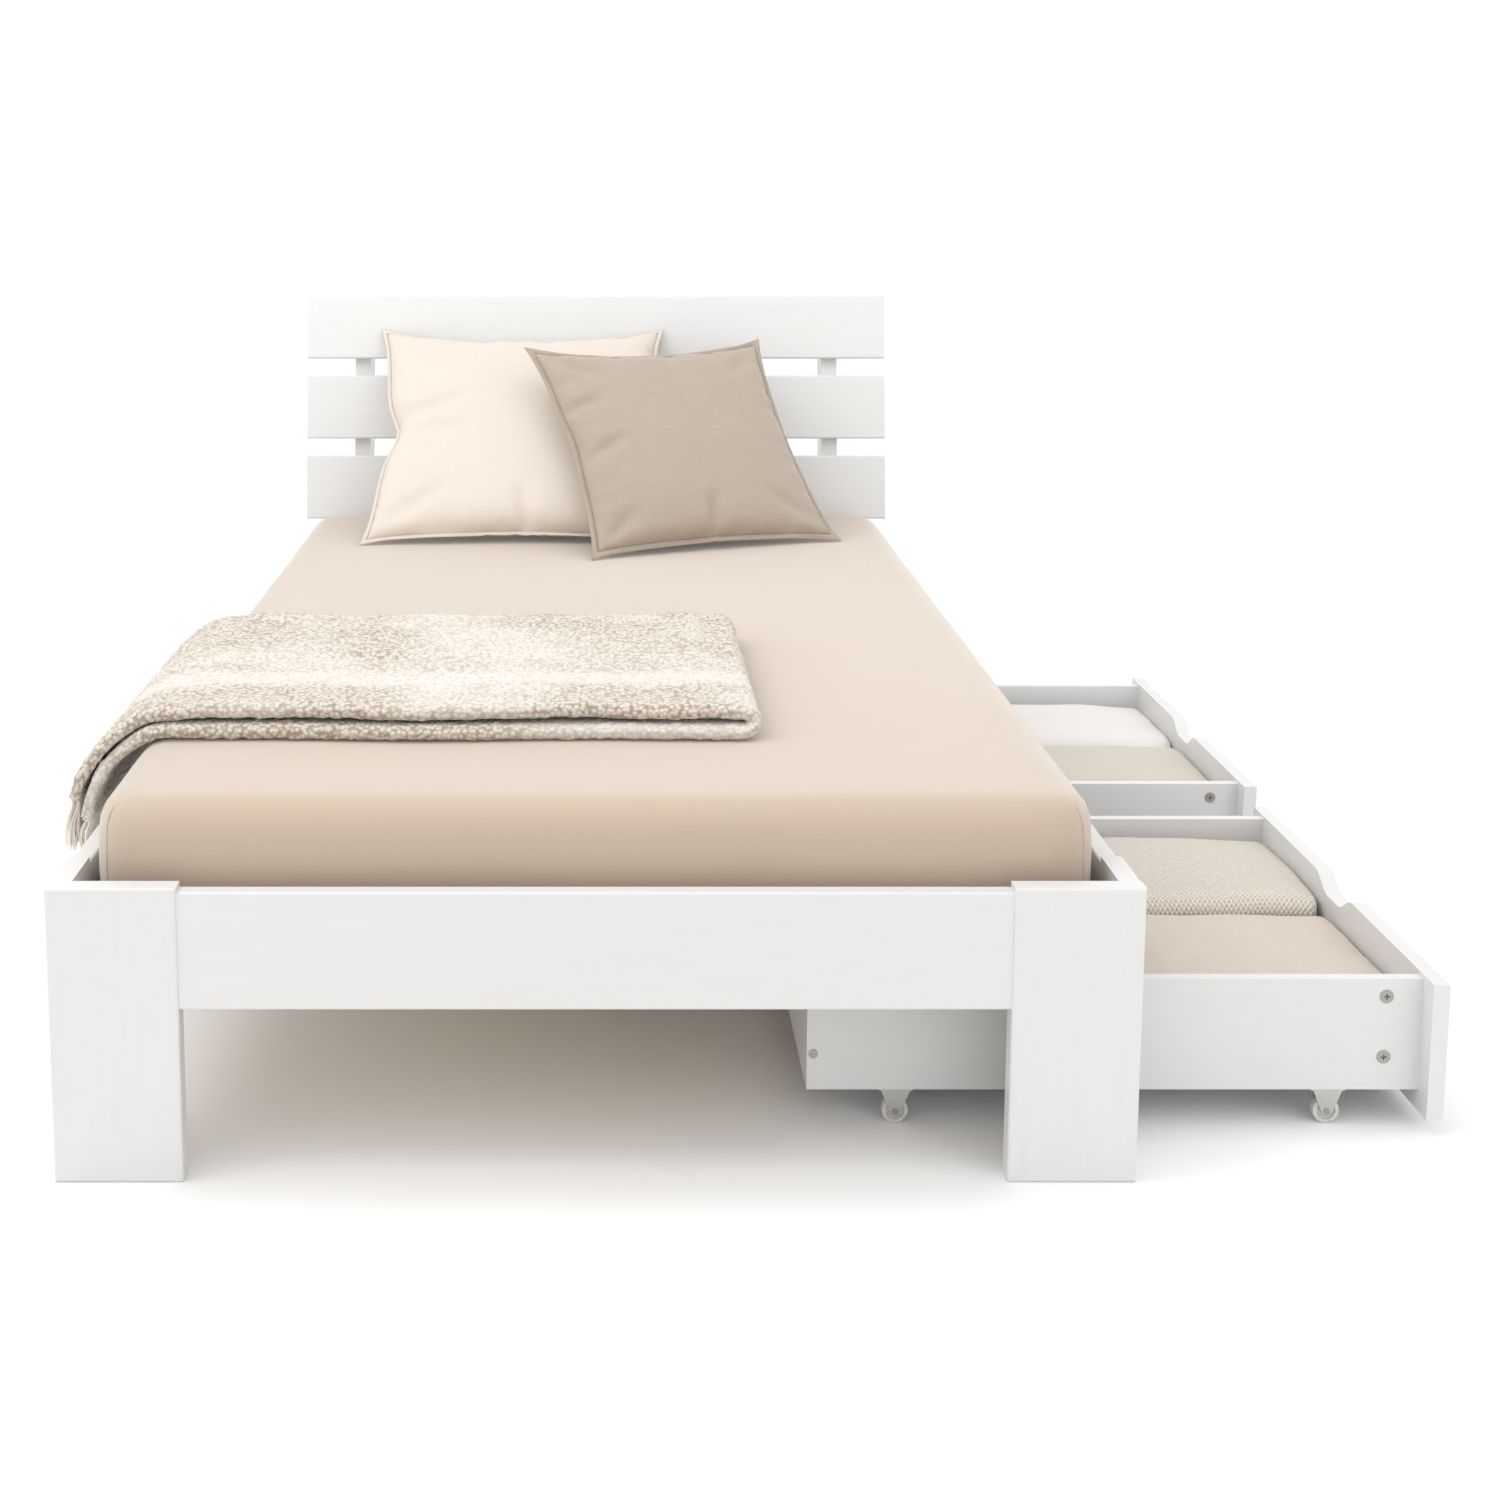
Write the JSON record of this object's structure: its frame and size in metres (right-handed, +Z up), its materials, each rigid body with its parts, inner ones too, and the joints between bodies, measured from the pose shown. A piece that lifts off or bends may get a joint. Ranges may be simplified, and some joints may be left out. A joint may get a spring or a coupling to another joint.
{
  "type": "bed with roll-out drawers",
  "caption": "White wooden single bed with a slatted base, a leaning three-board headboard, bedding and storage drawers that roll out on castors.",
  "frame": {"origin": "on the floor, at the middle of the whole object's bounding box with the drawers pulled out as stored", "axes": "+Z up; +Y from the foot end to the headboard, the long way of the bed; +X to the side that the drawers roll out of"},
  "size_m": [1.76, 2.2614, 0.9052],
  "materials": {
    "white_painted_pine": "satin",
    "bare_pine": "matte",
    "webbing": "matte",
    "white_drawer_board": "satin",
    "wheel_plastic": "satin",
    "castor_steel": "satin",
    "bright_steel": "satin",
    "mattress_ticking": "matte",
    "sheet_cotton": "matte",
    "cream_cotton": "matte",
    "taupe_cotton": "matte",
    "throw_boucle": "matte",
    "beige_knit": "matte",
    "blush_linen": "matte",
    "white_quilt": "matte"
  },
  "bodies": {
    "bed": {"centre_beam": "bare_pine", "fitted_sheet": "sheet_cotton", "foot_rail": "white_painted_pine", "head_rail": "white_painted_pine", "headboard_board_bottom": "white_painted_pine", "headboard_board_middle": "white_painted_pine", "headboard_board_top": "white_painted_pine", "headboard_bolts": "bright_steel", "headboard_post_left": "white_painted_pine", "headboard_post_right": "white_painted_pine", "joining_plates": "bright_steel", "leg_foot_left": "white_painted_pine", "leg_foot_right": "white_painted_pine", "leg_head_left": "white_painted_pine", "leg_head_right": "white_painted_pine", "mattress": "mattress_ticking", "mid_leg": "bare_pine", "pillow_cream": "cream_cotton", "pillow_taupe": "taupe_cotton", "plate_screws": "bright_steel", "post_bolts": "bright_steel", "post_nuts": "bright_steel", "side_rail_left": "white_painted_pine", "side_rail_right": "white_painted_pine", "slat_ledgers": "bare_pine", "slat_webbing": "webbing", "slats": "bare_pine", "throw_blanket": "throw_boucle"},
    "drawer_near": {"drawer_near_back": "white_drawer_board", "drawer_near_back_screws": "bright_steel", "drawer_near_bottom": "white_drawer_board", "drawer_near_cam_bolts": "bright_steel", "drawer_near_cam_locks": "bright_steel", "drawer_near_castor_axles": "bright_steel", "drawer_near_castor_forks": "castor_steel", "drawer_near_front": "white_drawer_board", "drawer_near_knit": "beige_knit", "drawer_near_linen": "blush_linen", "drawer_near_side_far": "white_drawer_board", "drawer_near_side_near": "white_drawer_board"},
    "drawer_near_wheel_back_far": {"drawer_near_wheel_back_far": "wheel_plastic"},
    "drawer_near_wheel_back_near": {"drawer_near_wheel_back_near": "wheel_plastic"},
    "drawer_near_wheel_front_far": {"drawer_near_wheel_front_far": "wheel_plastic"},
    "drawer_near_wheel_front_near": {"drawer_near_wheel_front_near": "wheel_plastic"},
    "drawer_far": {"drawer_far_back": "white_drawer_board", "drawer_far_back_screws": "bright_steel", "drawer_far_bottom": "white_drawer_board", "drawer_far_cam_bolts": "bright_steel", "drawer_far_cam_locks": "bright_steel", "drawer_far_castor_axles": "bright_steel", "drawer_far_castor_forks": "castor_steel", "drawer_far_front": "white_drawer_board", "drawer_far_knit": "beige_knit", "drawer_far_quilt": "white_quilt", "drawer_far_side_far": "white_drawer_board", "drawer_far_side_near": "white_drawer_board"},
    "drawer_far_wheel_back_far": {"drawer_far_wheel_back_far": "wheel_plastic"},
    "drawer_far_wheel_back_near": {"drawer_far_wheel_back_near": "wheel_plastic"},
    "drawer_far_wheel_front_far": {"drawer_far_wheel_front_far": "wheel_plastic"},
    "drawer_far_wheel_front_near": {"drawer_far_wheel_front_near": "wheel_plastic"}
  },
  "joints": [
    {"name": "drawer_near_roll", "type": "slide", "parent": "bed", "child": "drawer_near", "axis": [1, 0, 0], "range_m": [-0.414, 0.386]},
    {"name": "drawer_near_spin_back_far", "type": "hinge", "parent": "drawer_near", "child": "drawer_near_wheel_back_far", "pos_m": [0.188, -0.35266, 0.0165], "axis": [0, 1, 0], "continuous": true},
    {"name": "drawer_near_spin_back_near", "type": "hinge", "parent": "drawer_near", "child": "drawer_near_wheel_back_near", "pos_m": [0.188, -0.97267, 0.0165], "axis": [0, 1, 0], "continuous": true},
    {"name": "drawer_near_spin_front_far", "type": "hinge", "parent": "drawer_near", "child": "drawer_near_wheel_front_far", "pos_m": [0.729, -0.35266, 0.0165], "axis": [0, 1, 0], "continuous": true},
    {"name": "drawer_near_spin_front_near", "type": "hinge", "parent": "drawer_near", "child": "drawer_near_wheel_front_near", "pos_m": [0.729, -0.97267, 0.0165], "axis": [0, 1, 0], "continuous": true},
    {"name": "drawer_far_roll", "type": "slide", "parent": "bed", "child": "drawer_far", "axis": [1, 0, 0], "range_m": [-0.431, 0.369]},
    {"name": "drawer_far_spin_back_far", "type": "hinge", "parent": "drawer_far", "child": "drawer_far_wheel_back_far", "pos_m": [0.205, 0.44934, 0.0165], "axis": [0, 1, 0], "continuous": true},
    {"name": "drawer_far_spin_back_near", "type": "hinge", "parent": "drawer_far", "child": "drawer_far_wheel_back_near", "pos_m": [0.205, -0.17066, 0.0165], "axis": [0, 1, 0], "continuous": true},
    {"name": "drawer_far_spin_front_far", "type": "hinge", "parent": "drawer_far", "child": "drawer_far_wheel_front_far", "pos_m": [0.746, 0.44934, 0.0165], "axis": [0, 1, 0], "continuous": true},
    {"name": "drawer_far_spin_front_near", "type": "hinge", "parent": "drawer_far", "child": "drawer_far_wheel_front_near", "pos_m": [0.746, -0.17066, 0.0165], "axis": [0, 1, 0], "continuous": true}
  ],
  "couplings": [
    {"joint": "drawer_near_spin_back_far", "follows": "drawer_near_roll", "rad_per_m": 60.606},
    {"joint": "drawer_near_spin_back_near", "follows": "drawer_near_roll", "rad_per_m": 60.606},
    {"joint": "drawer_near_spin_front_far", "follows": "drawer_near_roll", "rad_per_m": 60.606},
    {"joint": "drawer_near_spin_front_near", "follows": "drawer_near_roll", "rad_per_m": 60.606},
    {"joint": "drawer_far_spin_back_far", "follows": "drawer_far_roll", "rad_per_m": 60.606},
    {"joint": "drawer_far_spin_back_near", "follows": "drawer_far_roll", "rad_per_m": 60.606},
    {"joint": "drawer_far_spin_front_far", "follows": "drawer_far_roll", "rad_per_m": 60.606},
    {"joint": "drawer_far_spin_front_near", "follows": "drawer_far_roll", "rad_per_m": 60.606}
  ]
}
